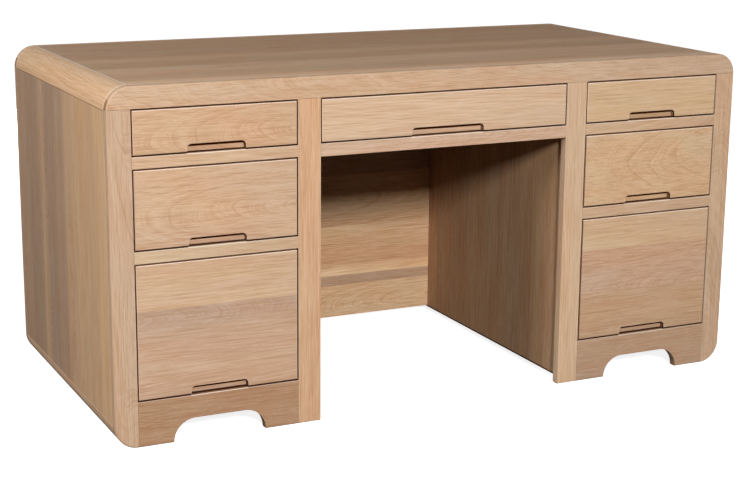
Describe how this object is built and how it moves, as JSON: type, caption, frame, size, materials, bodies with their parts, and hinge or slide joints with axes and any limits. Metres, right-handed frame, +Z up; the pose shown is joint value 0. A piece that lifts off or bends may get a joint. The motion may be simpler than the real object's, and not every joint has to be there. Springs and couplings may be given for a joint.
{
  "type": "executive desk",
  "caption": "Double-pedestal executive desk in pale oak with flush sliding drawers, cut-in finger pulls, rounded end corners and arched feet.",
  "frame": {"origin": "on the floor, under the middle of the desk", "axes": "+X to the right as seen from the sitter's side, +Y from the drawer fronts to the back, +Z up"},
  "size_m": [1.54, 0.762, 0.762],
  "materials": {
    "frame_oak": "limed oak, satin lacquer",
    "front_oak": "limed oak, satin lacquer",
    "top_oak": "limed oak boards, satin lacquer",
    "corner_oak": "limed oak, satin lacquer",
    "side_oak": "limed oak boards, satin lacquer",
    "knee_oak": "limed oak boards, satin lacquer",
    "box_wood": "pale drawer-box wood, thin lacquer",
    "runner_wood": "bare hardwood, waxed"
  },
  "bodies": {
    "carcass": {"front_top_rail": "frame_oak", "centre_rail": "frame_oak", "outer_stile_left": "frame_oak", "outer_stile_right": "frame_oak", "inner_stile_left": "frame_oak", "inner_stile_right": "frame_oak", "upper_rail_left": "frame_oak", "upper_rail_right": "frame_oak", "lower_rail_left": "frame_oak", "lower_rail_right": "frame_oak", "plinth_left": "frame_oak", "plinth_right": "frame_oak", "top_panel": "top_oak", "top_corner_left": "corner_oak", "top_corner_right": "corner_oak", "bottom_corner_left": "side_oak", "bottom_corner_right": "side_oak", "side_panel_left": "side_oak", "side_panel_right": "side_oak", "inner_panel_left": "knee_oak", "inner_panel_right": "knee_oak", "back_top_rail": "frame_oak", "back_panel_left": "side_oak", "back_panel_right": "side_oak", "modesty_panel": "knee_oak", "pedestal_floor_left": "box_wood", "pedestal_floor_right": "box_wood", "left_top_inner_runner": "runner_wood", "left_top_outer_runner": "runner_wood", "left_middle_inner_runner": "runner_wood", "left_middle_outer_runner": "runner_wood", "right_top_inner_runner": "runner_wood", "right_top_outer_runner": "runner_wood", "right_middle_inner_runner": "runner_wood", "right_middle_outer_runner": "runner_wood", "centre_runner_left": "runner_wood", "centre_runner_right": "runner_wood"},
    "left_top_drawer": {"left_top_drawer_front": "front_oak", "left_top_drawer_box": "box_wood", "left_top_drawer_bottom": "box_wood"},
    "left_middle_drawer": {"left_middle_drawer_front": "front_oak", "left_middle_drawer_box": "box_wood", "left_middle_drawer_bottom": "box_wood"},
    "left_bottom_drawer": {"left_bottom_drawer_front": "front_oak", "left_bottom_drawer_box": "box_wood", "left_bottom_drawer_bottom": "box_wood"},
    "right_top_drawer": {"right_top_drawer_front": "front_oak", "right_top_drawer_box": "box_wood", "right_top_drawer_bottom": "box_wood"},
    "right_middle_drawer": {"right_middle_drawer_front": "front_oak", "right_middle_drawer_box": "box_wood", "right_middle_drawer_bottom": "box_wood"},
    "right_bottom_drawer": {"right_bottom_drawer_front": "front_oak", "right_bottom_drawer_box": "box_wood", "right_bottom_drawer_bottom": "box_wood"},
    "centre_drawer": {"centre_drawer_front": "front_oak", "centre_drawer_box": "box_wood", "centre_drawer_bottom": "box_wood"}
  },
  "joints": [
    {"name": "left_top_drawer_slide", "type": "slide", "parent": "carcass", "child": "left_top_drawer", "axis": [0, -1, 0], "range_m": [0, 0.4]},
    {"name": "left_middle_drawer_slide", "type": "slide", "parent": "carcass", "child": "left_middle_drawer", "axis": [0, -1, 0], "range_m": [0, 0.4]},
    {"name": "left_bottom_drawer_slide", "type": "slide", "parent": "carcass", "child": "left_bottom_drawer", "axis": [0, -1, 0], "range_m": [0, 0.4]},
    {"name": "right_top_drawer_slide", "type": "slide", "parent": "carcass", "child": "right_top_drawer", "axis": [0, -1, 0], "range_m": [0, 0.4]},
    {"name": "right_middle_drawer_slide", "type": "slide", "parent": "carcass", "child": "right_middle_drawer", "axis": [0, -1, 0], "range_m": [0, 0.4]},
    {"name": "right_bottom_drawer_slide", "type": "slide", "parent": "carcass", "child": "right_bottom_drawer", "axis": [0, -1, 0], "range_m": [0, 0.4]},
    {"name": "centre_drawer_slide", "type": "slide", "parent": "carcass", "child": "centre_drawer", "axis": [0, -1, 0], "range_m": [0, 0.34]}
  ]
}
